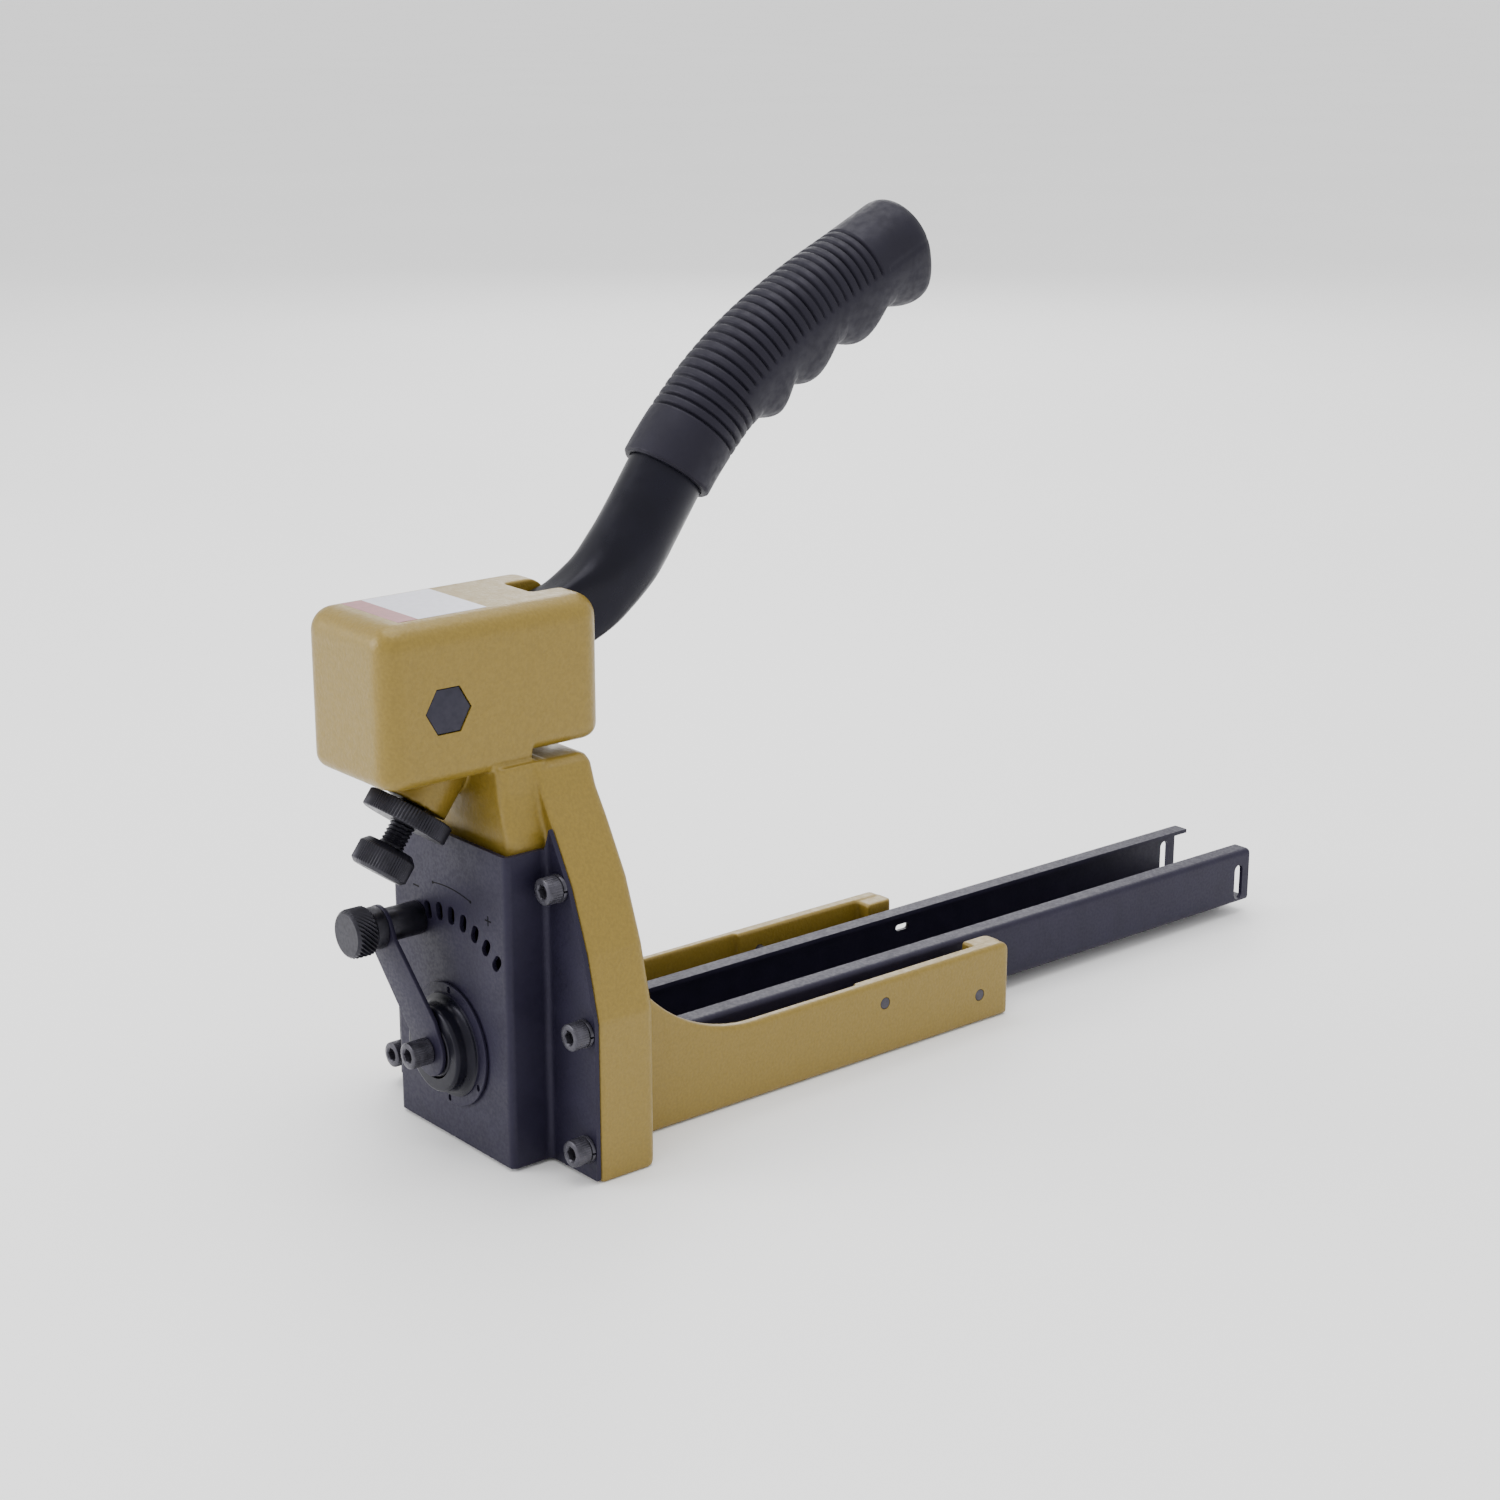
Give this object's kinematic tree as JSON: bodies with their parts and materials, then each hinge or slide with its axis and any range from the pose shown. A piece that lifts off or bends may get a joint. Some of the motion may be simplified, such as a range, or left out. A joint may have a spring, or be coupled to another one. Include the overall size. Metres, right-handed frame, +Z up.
{
  "type": "carton closing stapler",
  "caption": "Hand-operated carton-closing stapler: gold die-cast body, black front plate, open staple channel and curved ridged lever handle.",
  "frame": {"origin": "bottom centre of the whole tool's bounding box, on the surface it stands on", "axes": "+Z up, +Y from the front plate back along the staple channel, +X across the tool"},
  "size_m": [0.11, 0.3924, 0.2839],
  "materials": {
    "gold_casting": "gold hammertone paint",
    "black_powder": "fine black powder coat",
    "black_rubber": "satin rubber",
    "black_oxide": "black oxide",
    "dark_screw": "dark phosphate",
    "bright_steel": "bright zinc",
    "bronze": "plain bronze"
  },
  "bodies": {
    "frame": {"main_casting": "gold_casting", "front_cover": "black_powder", "cover_screw_1": "dark_screw", "cover_screw_2": "dark_screw", "cover_screw_3": "dark_screw", "cover_screw_4": "dark_screw", "cover_screw_5": "dark_screw", "cover_screw_6": "dark_screw", "cover_washer_1": "dark_screw", "cover_washer_2": "dark_screw", "cover_washer_3": "dark_screw", "cover_washer_4": "dark_screw", "cover_washer_5": "dark_screw", "cover_washer_6": "dark_screw", "shaft_housing": "black_powder", "magazine_channel": "black_powder", "magazine_pin_1": "black_oxide", "magazine_pin_2": "black_oxide", "magazine_pin_3": "black_oxide", "magazine_pin_4": "black_oxide", "pivot_bolt": "black_oxide", "pivot_nut": "black_oxide", "return_spring": "bright_steel", "guide_plate": "bright_steel", "clincher_pin_left": "bright_steel", "clincher_pin_right": "bright_steel"},
    "handle": {"handle_bar": "black_powder", "handle_grip": "black_rubber", "pivot_bush": "bronze", "nose_roller": "bright_steel", "roller_pin": "bright_steel"},
    "driver": {"driver_carriage": "bright_steel", "driver_blade": "bright_steel", "blade_clamp": "bright_steel", "blade_screw_1": "dark_screw", "blade_screw_2": "dark_screw"},
    "clincher_left": {"clincher_left": "bright_steel"},
    "clincher_right": {"clincher_right": "bright_steel"},
    "depth_lever": {"depth_shaft": "black_oxide", "shaft_retaining_ring": "black_oxide", "depth_lever": "black_powder", "lever_screw": "dark_screw", "plunger_sleeve": "black_oxide"},
    "plunger": {"plunger_knob": "black_oxide", "plunger_pin": "bright_steel"},
    "adjuster": {"adjuster_screw": "black_oxide", "adjuster_knob": "black_oxide"},
    "lock_disc": {"lock_disc": "black_oxide"},
    "pusher": {"pusher_block": "bright_steel", "pusher_axle": "bright_steel", "pusher_roll_spring": "bright_steel"}
  },
  "joints": [
    {"name": "handle_press", "type": "hinge", "parent": "frame", "child": "handle", "pos_m": [0, -0.17435, 0.148], "axis": [-1, 0, 0], "range_deg": [0, 42], "stiffness_Nm_per_rad": 5, "springref_deg": -34.38},
    {"name": "driver_slide", "type": "slide", "parent": "frame", "child": "driver", "axis": [0, 0, -1], "range_m": [0, 0.0246], "deforming": ["return_spring"]},
    {"name": "clincher_left_swing", "type": "hinge", "parent": "frame", "child": "clincher_left", "pos_m": [-0.026, -0.14335, 0.013], "axis": [0, -1, 0], "range_deg": [0, 88]},
    {"name": "clincher_right_swing", "type": "hinge", "parent": "frame", "child": "clincher_right", "pos_m": [0.026, -0.14335, 0.013], "axis": [0, 1, 0], "range_deg": [0, 88]},
    {"name": "depth_set", "type": "hinge", "parent": "frame", "child": "depth_lever", "pos_m": [0, -0.16735, 0.033], "axis": [0, 1, 0], "range_deg": [0, 61.4]},
    {"name": "plunger_pull", "type": "slide", "parent": "depth_lever", "child": "plunger", "axis": [0, -1, 0], "range_m": [0, 0.004], "stiffness_N_per_m": 600, "springref_m": -0.002},
    {"name": "adjuster_turn", "type": "hinge", "parent": "frame", "child": "adjuster", "pos_m": [0, -0.17575, 0.1104], "axis": [0, 0.5976, 0.8018], "range_deg": [-360, 360]},
    {"name": "lock_disc_turn", "type": "hinge", "parent": "frame", "child": "lock_disc", "pos_m": [0, -0.17575, 0.1104], "axis": [0, 0.5976, 0.8018], "range_deg": [-360, 360]},
    {"name": "pusher_slide", "type": "slide", "parent": "frame", "child": "pusher", "axis": [0, 1, 0], "range_m": [0, 0.29], "stiffness_N_per_m": 10, "springref_m": -0.4}
  ],
  "couplings": [
    {"joint": "driver_slide", "follows": "handle_press", "m_per_rad": 0.03315},
    {"joint": "clincher_left_swing", "follows": "handle_press", "ratio": 2.05},
    {"joint": "clincher_right_swing", "follows": "handle_press", "ratio": 2.05}
  ]
}
